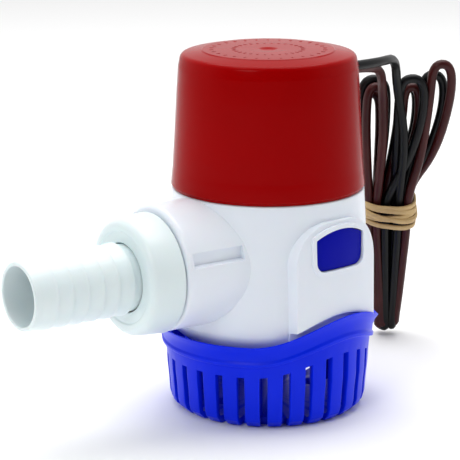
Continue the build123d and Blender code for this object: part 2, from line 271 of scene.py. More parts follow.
def soften(piece: Piece, width: float, steps: int = 2, angle: float = 32.0) -> None:
    """Rounds the sharp edges of a shape.

    Args:
        piece: The shape.
        width: The rounding in millimetres.
        steps: How many steps it has.
        angle: How sharp an edge has to be, in degrees.
    """
    modify(piece, "BEVEL", width=width * MM, segments=steps, limit_method="ANGLE",
           angle_limit=math.radians(angle), miter_outer="MITER_ARC", use_clamp_overlap=True)


def shade(piece: Piece, angle: float = 30.0) -> None:
    """Smooths the shading over edges blunter than an angle in degrees."""
    activate(piece)
    bpy.ops.object.shade_smooth_by_angle(angle=math.radians(angle))


def join(name: str, pieces: list[Piece]) -> Piece:
    """Joins several objects into one.

    Args:
        name: The joined object's name.
        pieces: The objects, of which the first one stays.

    Returns:
        The joined object.
    """
    activate(pieces[0])
    for piece in pieces:
        piece.select_set(True)
    bpy.ops.object.join()
    pieces[0].name = name
    return pieces[0]


def report(piece: Piece) -> None:
    """Logs a finished piece and its size."""
    faces = len(piece.data.polygons) if piece.type == "MESH" else 0
    log.info("%s: %d faces, %s mm", piece.name, faces, [round(side / MM, 1) for side in piece.dimensions])


# ---------------------------------------------------------------- finishes


class Signal:
    """A node's output that is worked on with ordinary operators."""

    def __init__(self, tree: bpy.types.NodeTree, socket: bpy.types.NodeSocket) -> None:
        """Wraps an output socket of a node tree."""
        self.tree = tree
        self.socket = socket

    def _maths(self, operation: str, first: "Signal | float", second: "Signal | float") -> "Signal":
        """Adds a Math node."""
        node = self.tree.nodes.new("ShaderNodeMath")
        node.operation = operation
        for port, value in zip(node.inputs, (first, second)):
            if isinstance(value, Signal):
                self.tree.links.new(value.socket, port)
            else:
                port.default_value = value
        return Signal(self.tree, node.outputs[0])

    def __add__(self, other: "Signal | float") -> "Signal":
        """Signal plus another or a number."""
        return self._maths("ADD", self, other)

    __radd__ = __add__

    def __mul__(self, other: "Signal | float") -> "Signal":
        """Signal times another or a number."""
        return self._maths("MULTIPLY", self, other)

    __rmul__ = __mul__


class Paint:
    """A new material with one principled shader, and its nodes."""

    def __init__(self, name: str) -> None:
        """Makes the material."""
        self.material = bpy.data.materials.new(name)
        self.material.use_nodes = True
        self.tree = self.material.node_tree
        self.shader = self.tree.nodes["Principled BSDF"]

    def node(self, kind: str, settings: dict[str, object] | None = None, out: int | str = 0,
             **inputs: object) -> Signal:
        """Adds a node.

        Args:
            kind: The node's type, without its ShaderNode prefix.
            settings: Its own settings, set before its sockets.
            out: The output that is wanted.
            **inputs: Values or signals for its sockets, by name with _ for a space.

        Returns:
            The wanted output.
        """
        made = self.tree.nodes.new("ShaderNode" + kind)
        for name, value in (settings or {}).items():
            setattr(made, name, value)
        for name, value in inputs.items():
            self.feed(self._port(made, name), value)
        return Signal(self.tree, made.outputs[out])

    @staticmethod
    def _port(made: bpy.types.Node, name: str) -> bpy.types.NodeSocket:
        """The input that is in use under a name."""
        title = name.replace("_", " ")
        return next(port for port in made.inputs if port.name == title and port.enabled)

    def feed(self, port: bpy.types.NodeSocket, value: object) -> None:
        """Gives an input a value or a signal."""
        if isinstance(value, Signal):
            self.tree.links.new(value.socket, port)
        else:
            port.default_value = value

    def set(self, **inputs: object) -> None:
        """Gives the shader's own inputs values or signals, by name with _ for a space."""
        for name, value in inputs.items():
            self.feed(self.shader.inputs[name.replace("_", " ")], value)

    def place(self) -> Signal:
        """The position on the object."""
        return self.node("TexCoord", out="Object")

    def noise(self, scale: float, detail: float = 2.0, stretch: Place = (1, 1, 1)) -> Signal:
        """Soft noise over the object.

        Args:
            scale: How fine it is, in cycles per metre.
            detail: How many finer layers it has.
            stretch: How much finer it is along each axis.

        Returns:
            A signal of about 0.3 to 0.7.
        """
        where = self.node("Mapping", Vector=self.place(), Scale=stretch)
        return self.node("TexNoise", Vector=where, Scale=scale, Detail=detail, Roughness=0.55)

    def blend(self, amount: Signal, low: tuple, high: tuple) -> Signal:
        """A colour that runs from low to high as a signal goes from 0 to 1."""
        mix = self.tree.nodes.new("ShaderNodeMix")
        mix.data_type = "RGBA"
        colours = [port for port in mix.inputs if port.type == "RGBA"]
        self.feed(mix.inputs[0], amount)
        colours[0].default_value = (*low, 1)
        colours[1].default_value = (*high, 1)
        return Signal(self.tree, next(port for port in mix.outputs if port.type == "RGBA"))

    def spread(self, signal: Signal, low: float, high: float) -> Signal:
        """Stretches a signal from low to high over 0 to 1."""
        return self.node("MapRange", Value=signal, From_Min=low, From_Max=high)

    def bump(self, height: Signal, depth: float, strength: float = 1.0) -> None:
        """Lets a height signal dent the surface.

        Args:
            height: The signal, 0 to 1.
            depth: Its depth in metres.
            strength: How much of it shows.
        """
        self.set(Normal=self.node("Bump", Height=height, Distance=depth, Strength=strength))


@dataclass(frozen=True)
class Moulded:
    """Injection-moulded plastic: slow colour drift, a very fine skin and faint handling marks."""

    name: str
    colour: tuple[float, float, float]
    drift: tuple[float, float, float]
    roughness: float
    slot: str
    shine: float = 0.5
    scatter: float = 0.0
    waviness: float = 0.00001

    def make(self) -> bpy.types.Material:
        """Makes the material."""
        paint = Paint(self.name)
        flow = paint.spread(paint.noise(28.0, 3.0), 0.34, 0.66)
        paint.set(Base_Color=paint.blend(flow, self.colour, self.drift))
        paint.set(Roughness=paint.noise(90.0, 3.0) * 0.04 + self.roughness)
        paint.set(IOR=1.49, Specular_IOR_Level=self.shine)
        if self.scatter:
            paint.set(Subsurface_Weight=self.scatter, Subsurface_Scale=0.002)
        skin = paint.noise(900.0, 2.0) * 0.3 + paint.noise(55.0, 1.0) * 0.7
        paint.bump(skin, self.waviness)
        return paint.material


@dataclass(frozen=True)
class Metal:
    """Bare metal with turning or drawing marks around Z."""

    name: str
    colour: tuple[float, float, float]
    dull: tuple[float, float, float]
    roughness: float
    slot: str

    def make(self) -> bpy.types.Material:
        """Makes the material."""
        paint = Paint(self.name)
        marks = paint.noise(300.0, 3.0, (0.1, 0.1, 9.0))
        paint.set(Base_Color=paint.blend(paint.spread(marks, 0.3, 0.7), self.dull, self.colour))
        paint.set(Metallic=1.0, Roughness=marks * 0.25 + self.roughness)
        paint.bump(marks, 0.00002)
        return paint.material


@dataclass(frozen=True)
class Insulation:
    """Flexible cable insulation or rubber, with faint drawing lines and rubbed patches."""

    name: str
    colour: tuple[float, float, float]
    rubbed: tuple[float, float, float]
    roughness: float
    slot: str
    grain: float = 260.0
    shine: float = 0.5

    def make(self) -> bpy.types.Material:
        """Makes the material."""
        paint = Paint(self.name)
        patches = paint.spread(paint.noise(70.0, 3.0), 0.4, 0.75)
        paint.set(Base_Color=paint.blend(patches, self.colour, self.rubbed))
        fine = paint.noise(self.grain, 3.0)
        paint.set(Roughness=fine * 0.18 + self.roughness, IOR=1.5, Specular_IOR_Level=self.shine)
        paint.bump(fine, 0.00008, 0.6)
        return paint.material


@dataclass(frozen=True)
class Wound:
    """Enamelled copper wire laid in turns."""

    name: str
    slot: str

    def make(self) -> bpy.types.Material:
        """Makes the material."""
        paint = Paint(self.name)
        turns = paint.node("TexWave", {"wave_type": "RINGS", "rings_direction": "Z"}, out="Fac",
                           Vector=paint.place(), Scale=520.0, Distortion=0.4, Detail=1.0)
        paint.set(Base_Color=paint.blend(turns, (0.25, 0.06, 0.02), (0.72, 0.27, 0.09)))
        paint.set(Metallic=0.85, Roughness=turns * 0.1 + 0.25)
        paint.bump(turns, 0.0001)
        return paint.material


WHITE = Moulded("white_moulding", (0.80, 0.85, 0.93), (0.82, 0.87, 0.94), 0.24, "white_plastic", scatter=0.08)
FITTING = Moulded("fitting_moulding", (0.74, 0.84, 0.86), (0.77, 0.87, 0.88), 0.27, "fitting_plastic",
                   scatter=0.08)
RED = Moulded("red_moulding", (0.29, 0.0, 0.0004), (0.31, 0.0, 0.0006), 0.18, "red_plastic", shine=0.05)
BLUE = Moulded("blue_moulding", (0.001, 0.020, 0.80), (0.002, 0.024, 0.86), 0.28, "blue_plastic", shine=0.12)
BUTTON_BLUE = Moulded("button_moulding", (0.0002, 0.0022, 0.34), (0.0004, 0.003, 0.37), 0.3, "blue_plastic",
                      shine=0.06)
DARK_PLASTIC = Moulded("dark_moulding", (0.022, 0.022, 0.025), (0.03, 0.03, 0.034), 0.42, "end_plastic")
IMPELLER_PLASTIC = Moulded("impeller_moulding", (0.018, 0.019, 0.022), (0.028, 0.028, 0.032), 0.34,
                           "impeller_plastic")
BLACK_WIRE = Insulation("black_insulation", (0.0018, 0.0022, 0.0026), (0.004, 0.005, 0.006), 0.26,
                        "black_wire", shine=0.22)
BROWN_WIRE = Insulation("brown_insulation", (0.045, 0.006, 0.006), (0.075, 0.013, 0.012), 0.26, "brown_wire",
                        shine=0.22)
SEAL = Insulation("black_seal_rubber", (0.012, 0.012, 0.013), (0.03, 0.03, 0.03), 0.5, "seal_rubber")
TAN = Insulation("tan_rubber", (0.52, 0.35, 0.15), (0.72, 0.52, 0.22), 0.5, "tan_rubber", 900.0)
CAN_STEEL = Metal("drawn_steel", (0.62, 0.63, 0.65), (0.45, 0.46, 0.48), 0.25, "can_steel")
CORE_STEEL = Metal("core_laminations", (0.42, 0.42, 0.44), (0.22, 0.22, 0.23), 0.4, "core_steel")
SHAFT_STEEL = Metal("ground_steel", (0.75, 0.75, 0.77), (0.6, 0.6, 0.62), 0.12, "shaft_steel")
BRONZE = Metal("sintered_bronze", (0.62, 0.40, 0.17), (0.42, 0.26, 0.11), 0.4, "bush_bronze")
COPPER = Metal("drum_copper", (0.80, 0.38, 0.20), (0.5, 0.2, 0.1), 0.25, "commutator_copper")
FERRITE = Insulation("ferrite", (0.035, 0.035, 0.038), (0.07, 0.07, 0.075), 0.55, "magnet_ferrite", 1500.0)
CARBON = Insulation("brush_carbon", (0.016, 0.016, 0.017), (0.04, 0.04, 0.042), 0.45, "carbon", 1800.0)
COILS = Wound("enamelled_wire", "copper_wire")
Finish = Moulded | Metal | Insulation | Wound

_made: dict[str, bpy.types.Material] = {}


def dress(piece: Piece, finish: Finish) -> None:
    """Gives a new piece its finish.

    Args:
        piece: The piece.
        finish: Its finish.
    """
    if finish.name not in _made:
        _made[finish.name] = finish.make()
    piece.data.materials.clear()
    piece.data.materials.append(_made[finish.name])


def complete(piece: Piece, finish: Finish, body: str, *nodes: str) -> None:
    """Finishes a new piece.

    Args:
        piece: The piece.
        finish: Its finish.
        body: The body that it rides on.
        *nodes: The CAD nodes that it stands in for.
    """
    dress(piece, finish)
    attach(piece, body)
    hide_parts(*nodes)
    report(piece)


def redress(node: str, finish: Finish) -> None:
    """Gives a CAD node's own slots a finish."""
    if finish.name not in _made:
        _made[finish.name] = finish.make()
    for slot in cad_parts[node].material_slots:
        slot.material = _made[finish.name]


# ---------------------------------------------------------------- the leads


@dataclass
class HankPlane:
    """The leaning plane that the hank of leads lies in."""

    turn: float = -36.5
    foot: Place = (38.9, 51.4, 0.0)
    lean: float = 10.05
    across: Vector = field(init=False)
    upward: Vector = field(init=False)
    outward: Vector = field(init=False)

    def __post_init__(self) -> None:
        """Works out the plane's directions."""
        spin = Matrix.Rotation(math.radians(self.turn), 3, "Z")
        lean = math.radians(self.lean)
        self.across = spin @ Vector((1, 0, 0))
        self.upward = spin @ Vector((0, -math.sin(lean), math.cos(lean)))
        self.outward = self.across.cross(self.upward)

    def at(self, x: float, height: float, depth: float) -> Vector:
        """A point of the hank in the row frame.

        Args:
            x: Millimetres across the hank.
            height: Millimetres up it.
            depth: Millimetres out of it, towards the pump's front.

        Returns:
            The point in metres.
        """
        place = Vector(self.foot) + self.across * x + self.upward * height + self.outward * depth
        return place * MM


@dataclass(frozen=True)
class Turn:
    """One turn of a lead in the hank: up through the band, over an arch, and down again."""

    up: Point
    arch: tuple[float, float]
    top: float
    depth: float
    down: Point
    fold: float


@dataclass
class Lead:
    """One conductor from the cover to its bare end, folded into the hank."""

    name: str
    finish: Insulation
    exit: Place
    route: list[Place]
    first: Point
    turns: list[Turn]
    end: Place
    length: float
    solids: tuple[str, ...]
    plane: HankPlane = field(default_factory=HankPlane)
    diameter: float = 2.7
    waist: tuple[float, float] = (37.0, 47.0)
    middle: float = 35.8
    fold_room: float = 0.6
    fan: float = 60.0

    def _drawn_in(self, x: float, height: float) -> float:
        """Where a strand runs below the band, where the bundle narrows towards its foot."""
        share = max(0.0, min(1.0, (self.waist[0] - height) / self.waist[0]))
        return x + (self.middle + 0.6 - x) * 0.62 * share

    def _strand(self, slot: Point, rising: bool) -> list[Vector]:
        """The points of a strand through the band, between the foot and the arch."""
        x, depth = slot
        below = [(self._drawn_in(x, h), h, depth * (0.55 + 0.45 * h / self.waist[0])) for h in (14.0, 26.0)]
        through = [(x, self.waist[0], depth), (x, self.waist[1], depth)]
        points = [self.plane.at(*place) for place in below + through]
        return points if rising else points[::-1]

    def points(self) -> list[Vector]:
        """The control points of the lead's line, in metres."""
        line = [Vector(place) * MM for place in self.route]
        slot = self.first
        line.append(self.plane.at(slot[0] + 1.6, 66.0, slot[1] + 0.4))
        line += self._strand(slot, rising=False)
        for turn in self.turns:
            here, there = self._drawn_in(slot[0], 4.0), self._drawn_in(turn.up[0], 4.0)
            line.append(self.plane.at(here, turn.fold + 2.0, slot[1] * 0.5))
            aside = self.fold_room if slot[1] > turn.up[1] else -self.fold_room
            line.append(self.plane.at(here, turn.fold, slot[1] * 0.5 + aside))
            line.append(self.plane.at(there, turn.fold, turn.up[1] * 0.5 - aside))
            line.append(self.plane.at(there, turn.fold + 2.0, turn.up[1] * 0.5))
            line += self._strand(turn.up, rising=True)
            left, right = turn.arch
            rising = turn.depth * 0.7 + turn.up[1] * 0.3
            line.append(self.plane.at((turn.up[0] + left * 2) / 3, self.fan, rising))
            line.append(self.plane.at(left, turn.top - 10.0, turn.depth))
            line.append(self.plane.at(left + (right - left) * 0.08, turn.top, turn.depth))
            line.append(self.plane.at(left + (right - left) * 0.92, turn.top, turn.depth - 0.4))
            line.append(self.plane.at(right, turn.top - 10.0, turn.depth - 0.6))
            falling = turn.depth * 0.6 + turn.down[1] * 0.4
            line.append(self.plane.at((turn.down[0] + right * 2) / 3, self.fan, falling))
            line += self._strand(turn.down, rising=False)
            slot = turn.down
        line.append(self.plane.at(*self.end))
        return line

    def build(self) -> Piece:
        """Makes the lead as one smooth line with a round section.

        Returns:
            The curve.
        """
        curve = bpy.data.curves.new(self.name, "CURVE")
        curve.dimensions = "3D"
        spline = curve.splines.new("NURBS")
        points = self.points()
        spline.points.add(len(points) - 1)
        for control, place in zip(spline.points, points):
            control.co = (*place, 1)
        spline.order_u = 3
        spline.use_endpoint_u = True
        spline.resolution_u = 6
        curve.bevel_depth = self.diameter / 2 * MM
        curve.bevel_resolution = 4
        curve.use_fill_caps = True
        piece = bpy.data.objects.new(self.name, curve)
        bpy.context.scene.collection.objects.link(piece)
        complete(piece, self.finish, "housing", *self.solids)
        return piece


@dataclass
class Hank:
    """Both leads and the rubber band that ties them."""

    plane: HankPlane = field(default_factory=HankPlane)
    centre: Point = (35.5, 42.2)
    half_width: float = 7.2
    half_depth: float = 6.9
    strip: float = 1.45
    thickness: float = 0.9
    wraps: tuple[tuple[float, float, float, float], ...] = (
        (3.1, -3.0, 3.0, 0.4), (1.5, -6.5, -3.0, 0.7), (0.2, 2.5, 4.0, 0.5), (-1.4, -4.5, -4.0, 0.8),
        (-2.9, -8.0, 2.0, 0.5), (0.3, -12.5, 6.0, 1.6))
    black: Lead = field(init=False)
    brown: Lead = field(init=False)

    def __post_init__(self) -> None:
        """Sets the routes of the two leads."""
        self.black = Lead(
            name="lead_black", finish=BLACK_WIRE, exit=(27.0, -1.4, 91.7), length=0.77,
            route=[(27.0, -1.4, 91.7), (38.0, -1.4, 91.7), (52.5, 9.5, 90.3), (57.9, 15.2, 80.0)],
            first=(38.3, 4.2), end=(37.6, 5.0, 1.5), solids=("black_lead", "lead_hank"),
            turns=[
                Turn((39.8, 1.4), (44.4, 51.2), 84.0, -1.4, (39.6, -1.4), 3.4),
                Turn((37.2, 1.4), (37.4, 45.2), 84.5, 3.4, (34.4, 4.2), 5.6),
                Turn((29.6, 1.4), (26.4, 34.4), 82.5, -1.6, (32.1, -1.4), 3.0),
                Turn((34.6, -4.0), (38.0, 43.4), 79.5, -3.8, (37.1, -4.0), 5.2),
            ])
        self.brown = Lead(
            name="lead_brown", finish=BROWN_WIRE, exit=(27.0, 1.4, 90.3), length=0.76,
            route=[(27.0, 1.4, 90.3), (36.0, 1.4, 90.3), (49.0, 11.5, 86.6), (54.4, 17.4, 78.0)],
            first=(31.8, 4.2), end=(34.2, 2.2, 0.5), solids=("brown_lead",),
            turns=[
                Turn((40.9, 3.9), (46.8, 53.2), 88.3, 1.6, (41.4, -3.6), 4.0),
                Turn((34.6, 1.4), (39.0, 44.0), 80.5, -0.2, (37.1, -1.4), 4.6),
                Turn((29.4, 4.0), (28.2, 33.6), 81.0, 1.0, (32.1, 1.4), 3.6),
                Turn((29.8, -1.4), (27.4, 32.6), 77.0, -4.2, (32.1, -4.0), 2.8),
            ])

    def _wrap(self, number: int, rise: float, tilt: float, pitch: float, grow: float) -> Piece:
        """One turn of the rubber band around the leads.

        Args:
            number: Its number.
            rise: How far up the waist it lies.
            tilt: How it slopes across the hank, in degrees.
            pitch: How it slopes through the hank, in degrees.
            grow: How far it stands off the innermost turn.

        Returns:
            The loop.
        """
        size = (2 * (self.half_width + grow / 2), self.strip, 2 * (self.half_depth + grow / 2))
        loop = slab(f"wrap_{number}", size, (0, 0, 0), self.half_depth - 1.2, along=1, steps=10)
        with editing(loop):
            pick(loop, Element.FACE, lambda face: abs(face.normal.y) > 0.9)
            bpy.ops.mesh.delete(type="FACE")
            bpy.ops.mesh.select_all(action="SELECT")
            bpy.ops.mesh.normals_make_consistent(inside=False)
        modify(loop, "SOLIDIFY", thickness=self.thickness * MM, offset=1.0)
        modify(loop, "BEVEL", width=0.3 * MM, segments=2, limit_method="ANGLE", angle_limit=math.radians(40))
        turn = Matrix.Rotation(math.radians(tilt), 4, "Z") @ Matrix.Rotation(math.radians(pitch), 4, "X")
        basis = Matrix((self.plane.across, self.plane.upward, self.plane.outward)).transposed().to_4x4()
        centre = self.plane.at(self.centre[0], self.centre[1] + rise, 0)
        loop.matrix_world = Matrix.Translation(centre) @ basis @ turn
        apply_place(loop)
        return loop

    def build(self) -> None:
        wraps = [self._wrap(number, *wrap) for number, wrap in enumerate(self.wraps)]
        band = join("tie_band", wraps)
        shade(band, 50)
        complete(band, TAN, "housing", "rubber_band")
        for lead in (self.black, self.brown):
            piece = lead.build()


# ---------------------------------------------------------------- the shells

BUTTON_TURN = 6.5
BUTTON_LOW = 43.7
BUTTON_TOP = 54.2
BUTTON_HALF = 8.4
BUTTON_CORNER = 2.6
CROWN_RADIUS = 18.0


def button_prism(name: str, grow: float, span: tuple[float, float]) -> Piece:
    """A block with the button's outline, rounded at its corners and arched at its top.

    Args:
        name: The new object's name.
        grow: How much bigger than the button it is all round, in millimetres.
        span: Where it starts and ends along Y, in millimetres.

    Returns:
        The new object.
    """
    low, top, half = BUTTON_LOW - grow, BUTTON_TOP + grow, BUTTON_HALF + grow
    middle = sum(span) / 2
    size = (2 * half, span[1] - span[0], top - low)
    prism = slab(name, size, (0, middle, (low + top) / 2), BUTTON_CORNER + grow)
    crown = turned("crown", [(CROWN_RADIUS + grow, -20.0), (CROWN_RADIUS + grow, 20.0)], 200)
    set_down(crown, (90, 0, 0), (0, middle, BUTTON_TOP - CROWN_RADIUS))
    combine(prism, crown, Joining.KEEP_COMMON)
    soften(prism, 1.6, 5, 40)
    return prism


@dataclass(frozen=True)
class Wave:
    """The line of the strainer's rim, which rises into a lobe below each button."""

    low: float = 24.1
    half: float = 56.0
    root: float = -4.8
    gain: float = 0.229

    def bump(self, off: float) -> float:
        """How much of the lobe's rise there is at an angle off the button, in degrees."""
        return math.cos(math.radians(90 * off / self.half)) ** 2 if abs(off) < self.half else 0.0

    def height(self, off: float, level: float) -> float:
        """How high a point of the level bowl comes at an angle off the button."""
        return self.root + (level - self.root) * (1 + self.gain * self.bump(off))

    def lift(self, piece: Piece, above: float) -> None:
        """Raises all of a turned shape above a height into the two lobes, column by column.

        Args:
            piece: The shape, turned about Z, with its columns at equal angles.
            above: The height in millimetres from which it is raised.
        """
        places = {round(abs(math.degrees(math.atan2(point.co.x, abs(point.co.y)))), 2)
                  for point in piece.data.vertices if point.co.xy.length > 0.001}
        with editing(piece):
            for off in sorted(places):
                if self.bump(off) > 0:
                    pick(piece, Element.VERT, lambda point: point.co.z > above * MM and abs(
                        abs(math.degrees(math.atan2(point.co.x, abs(point.co.y)))) - off) < 0.02)
                    bpy.ops.transform.resize(value=(1, 1, 1 + self.gain * self.bump(off)),
                                             center_override=(0, 0, self.root * MM))


WAVE = Wave()


@dataclass
class Cover:
    """The tapered motor cover: flat top, sloped shoulder, long drafted side and a thin lip."""

    height: float = 99.0
    top_radius: float = 18.2
    shoulder: Point = (23.7, 97.9)
    side: tuple[Point, ...] = ((24.35, 94.5), (24.8, 88.0), (25.4, 77.0), (26.0, 67.0))
    foot: Point = (26.5, 62.2)
    lip: Point = (25.9, 61.5)
    bore: float = 24.05
    ring_radii: tuple[float, float] = (9.4, 15.4)
    ring_rise: float = 0.07
    dashes: int = 30

    def _shell(self) -> Piece:
        """The outside and inside of the cover in one turned shape."""
        outside = [(0.6, self.height - 0.35, 0), (1.5, self.height - 0.35, 0.3), (2.7, self.height, 0.5),
                   (self.top_radius - 0.4, self.height, 0.2), (self.top_radius, self.height - 0.25, 0.2),
                   (*self.shoulder, 1.6)]
        outside += [(*place, 6.0) for place in self.side]
        outside += [(*self.foot, 0.3), (self.lip[0], self.foot[1], 0.1), (*self.lip, 0.15),
                    (self.bore, self.lip[1], 0)]
        inside = [(self.bore, 68.5, 0), (23.3, 77.0, 0), (22.7, 88.0, 0), (22.0, 95.6, 1.0), (0.6, 96.6, 0)]
        outline = rounded(outside, 5) + rounded(inside, 3)
        return turned("cover", outline[::-1], 192)

    def _dash(self, radius: float, index: int) -> Piece:
        """One raised dash of the ring on the top."""
        dash = slab("dash", (1.1, 0.45, 2 * self.ring_rise), (radius, 0, self.height), 0.2, along=2, steps=3)
        return set_down(dash, turn=(0, 0, 360 * (index + 0.5 * (radius > 12)) / self.dashes))

    def build(self) -> Piece:
        """Makes the cover.

        Returns:
            The piece.
        """
        shell = self._shell()
        hole = set_down(turned("hole", [(3.45, 20.0), (3.45, 30.0)], 48), (0, 90, 0), (0, 0, 91.0))
        combine(shell, hole, Joining.CUT)
        marks = [self._dash(radius, index) for radius in self.ring_radii for index in range(self.dashes)]
        piece = join("motor_cover", [shell, *marks])
        shade(piece, 28)
        complete(piece, RED, "housing", "motor_cap")
        return piece


@dataclass
class Port:
    """The discharge's own axis, which runs along -X beside the pump's axis."""

    y: float = -1.5
    z: float = 43.2
    bore: float = 7.9

    def on_axis(self, piece: Piece) -> Piece:
        """Moves a shape made along +Z onto the discharge's axis."""
        return set_down(piece, (0, -90, 0), (0, self.y, self.z))


@dataclass
class Body:
    """The white moulding with its bosses, discharge socket, motor seat and pump chamber."""

    port: Port = field(default_factory=Port)
    low: float = 21.0
    top: float = 61.4
    radius: float = 27.6
    boss_half: float = 14.3
    boss_face: float = 28.9
    in_rim: float = 28.0
    recess: tuple[Place, Place] = ((15.8, 6.0, 4.4), (-28.9, -19.4, 49.0))

    def _shell(self) -> Piece:
        """The round body with its chamber below and its motor seat above."""
        outline = rounded([
            (8.0, 31.0, 0), (8.0, 26.0, 0), (13.0, self.low, 0.6), (self.radius, self.low, 5.0),
            (self.radius, 30.0, 1.0), (27.4, 36.0, 0), (27.2, 42.0, 0), (27.0, 48.0, 0), (26.8, 53.0, 0),
            (26.5, 58.0, 0), (26.3, self.top, 0.5), (23.4, self.top, 0.3), (23.4, 68.0, 0.3),
            (21.2, 68.0, 0.3), (21.2, self.top, 0.2), (18.2, self.top, 0.3), (18.2, 57.2, 0.2),
            (2.3, 57.2, 0), (2.3, 52.5, 0),
            (19.6, 52.5, 0.6), (19.6, 31.0, 0.6), (8.0, 31.0, 0)], 5)
        return turned("body", outline[:-1], 176, hollow=True)

    def _boss(self, side: Side) -> Piece:
        """The arched swelling around a button, which stops short of the strainer's rim."""
        swelling = turned("boss", rounded([
            (41.1, 25.0, 0), (50.3, 25.0, 0.0), (50.15, 34.0, 0), (50.0, 44.0, 0), (49.6, 50.0, 0),
            (49.1, 57.0, 0), (41.1, 57.0, 0)], 3), 288)
        set_down(swelling, move=(0, 50.0 - self.boss_face, 0))
        arch = slab("arch", (2 * self.boss_half, 20, 56.5), (0, -30, 28.25), 11.0, steps=20)
        combine(swelling, arch, Joining.KEEP_COMMON)
        combine(swelling, self._rim_clearance(), Joining.CUT)
        soften(swelling, 1.0, 4, 50)
        return set_down(swelling, (0, 0, side.value + BUTTON_TURN))

    def _rim_clearance(self) -> Piece:
        """The space that the strainer's wavy rim needs around the body."""
        far, top = self.in_rim + 12, WAVE.low + 0.3
        outline = [(self.in_rim, 10.0), (far, 10.0), (far, top), (self.in_rim, top)]
        space = turned("space", outline, 336, hollow=True)
        WAVE.lift(space, WAVE.low - 1.0)
        return space

    def _bezel(self, side: Side) -> Piece:
        """The raised lip around a button's window."""
        lip = turned("lip", [(44.0, 35.0), (50.45, 35.0), (50.3, 46.0), (50.05, 52.0), (49.75, 60.0),
                             (44.0, 60.0)], 288)
        set_down(lip, move=(0, 50.0 - self.boss_face, 0))
        combine(lip, button_prism("outer", 1.5, (-36, -24)), Joining.KEEP_COMMON)
        soften(lip, 0.4, 3, 50)
        return set_down(lip, (0, 0, side.value + BUTTON_TURN))

    def _pocket(self, side: Side) -> Piece:
        """The hollow behind a button with its window and the channel of the button's arm."""
        hollow = turned("hollow", [(21.2, 19.0), (25.7, 19.0), (25.7, 54.9), (21.2, 54.9)], 176, hollow=True)
        limit = slab("limit", (20.4, 9.0, 14.4), (0, -25, 47.7), 0)
        channel = slab("channel", (12.0, 9.0, 24.0), (0, -25, 30.0), 0)
        combine(limit, channel, Joining.ADD)
        combine(hollow, limit, Joining.KEEP_COMMON)
        combine(hollow, button_prism("window", 0.25, (-36, -24.2)), Joining.ADD)
        return set_down(hollow, (0, 0, side.value + BUTTON_TURN))

    def _socket(self) -> Piece:
        """The outside of the discharge socket."""
        outline = rounded([(17.4, 18.0, 0), (17.25, 26.0, 0), (17.0, 34.0, 0), (17.0, 38.5, 1.2),
                           (14.5, 38.5, 0)], 4)
        return set_down(self.port.on_axis(turned("socket", outline, 160)), move=(0, 0, 1.0))

    def build(self) -> Piece:
        """Makes the body.

        Returns:
            The piece.
        """
        piece = self._shell()
        for side in Side:
            combine(piece, self._boss(side), Joining.ADD)
            combine(piece, self._bezel(side), Joining.ADD)
        combine(piece, self._socket(), Joining.ADD)
        recess = slab("recess", *self.recess, 0.0)
        with editing(recess):
            pick(recess, Element.VERT, lambda point: point.co.z < 0.049 and point.co.y > -0.0194)
            bpy.ops.transform.translate(value=(0, 0, 0.0009))
        combine(piece, recess, Joining.CUT)
        bore = turned("bore", [(7.9, 10.0), (7.9, 32.5), (13.8, 32.5), (13.8, 40.0)], 96)
        combine(piece, self.port.on_axis(bore), Joining.CUT)
        for side in Side:
            combine(piece, self._pocket(side), Joining.CUT)
        chamber = turned("chamber", [(19.6, 31.0), (19.6, 52.5)], 176)
        combine(piece, chamber, Joining.CUT)
        piece.name = "pump_housing"
        shade(piece, 28)
        complete(piece, WHITE, "housing", "pump_body")
        return piece


@dataclass
class Button:
    """A release button: crowned pad, flange behind the window and sprung arm."""

    face: float = 28.4
    crown: float = 50.0

    def build(self, side: Side) -> Piece:
        """Makes the button on one side.

        Args:
            side: Which button.

        Returns:
            The piece.
        """
        pad = button_prism("pad", 0.0, (-36, -24.4))
        face = set_down(turned("face", [(self.crown, 30.0), (self.crown, 60.0)], 320),
                        move=(0, self.crown - self.face, 0))
        combine(pad, face, Joining.KEEP_COMMON)
        soften(pad, 0.55, 3, 40)
        flange = slab("flange", (18.6, 3.0, 12.5), (0, -25.1, 48.35), 0.6)
        inside = turned("inside", [(25.4, 30.0), (25.4, 60.0)], 160)
        combine(flange, inside, Joining.KEEP_COMMON)
        arm = slab("arm", (10.0, 1.4, 33.3), (0, -24.1, 28.65), 0.6, steps=3)
        with editing(arm):
            pick(arm, Element.FACE, lambda face: face.normal.z < -0.9)
            bpy.ops.transform.resize(value=(0.8, 1, 1), center_override=(0, 0, 0.012))
        combine(flange, arm, Joining.ADD)
        combine(flange, pad, Joining.ADD)
        set_down(flange, (0, 0, side.value + BUTTON_TURN))
        which = side.name.lower()
        flange.name = f"button_{which}"
        shade(flange, 30)
        complete(flange, BUTTON_BLUE, f"button_{which}", f"release_button_{which}")
        return flange


